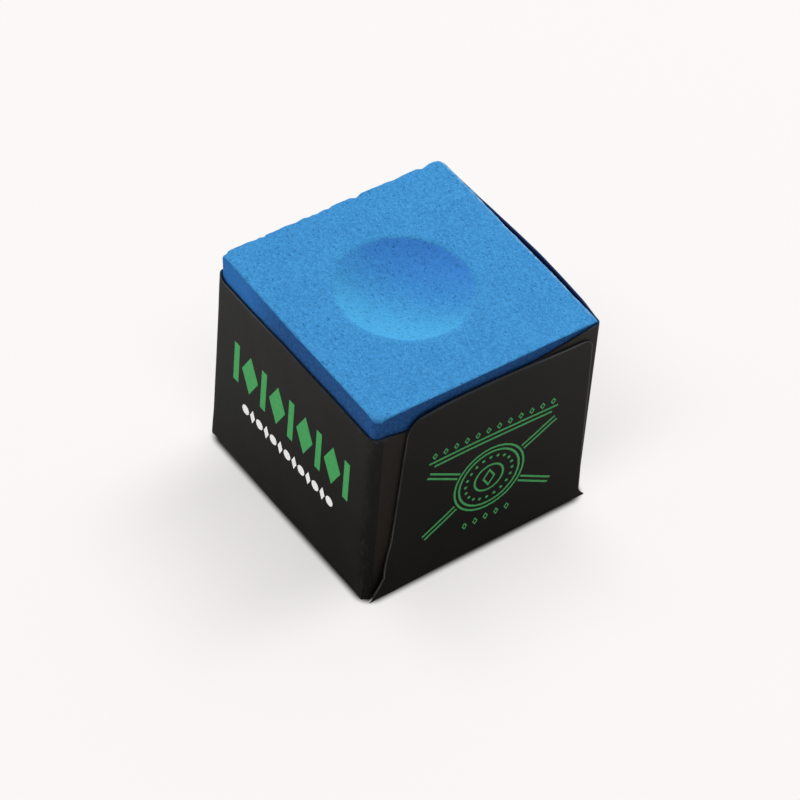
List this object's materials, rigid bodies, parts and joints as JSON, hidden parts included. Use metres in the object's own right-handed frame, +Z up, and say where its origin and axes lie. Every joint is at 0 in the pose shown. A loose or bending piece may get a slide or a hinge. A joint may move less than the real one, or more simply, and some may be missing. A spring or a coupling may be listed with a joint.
{
  "type": "cue chalk cube",
  "caption": "Pressed chalk cube with a shallow dimple on top for a cue tip, wrapped on five sides in a folded and glued paper label",
  "frame": {"origin": "the middle of the resting face, on the underside of the label's base panel", "axes": "+Z up, out of the dimpled end; -Y and +Y towards the two main printed panels; -X and +X towards the two cover flaps"},
  "size_m": [0.0224, 0.022, 0.0201],
  "materials": {
    "chalk": "matte",
    "label_paper": "satin",
    "glue": "satin",
    "green_ink": "satin",
    "white_ink": "satin"
  },
  "bodies": {
    "root": {"chalk_block": "chalk", "label_base_panel": "label_paper", "label_front_panel": "label_paper", "label_back_panel": "label_paper", "label_right_flap": "label_paper", "label_left_flap": "label_paper", "label_front_right_tab": "label_paper", "label_front_left_tab": "label_paper", "label_back_right_tab": "label_paper", "label_back_left_tab": "label_paper", "base_glue_film": "glue", "front_glue_film": "glue", "back_glue_film": "glue", "front_right_tab_glue": "glue", "front_left_tab_glue": "glue", "back_right_tab_glue": "glue", "back_left_tab_glue": "glue", "right_flap_glue": "glue", "left_flap_glue": "glue"}
  },
  "joints": []
}
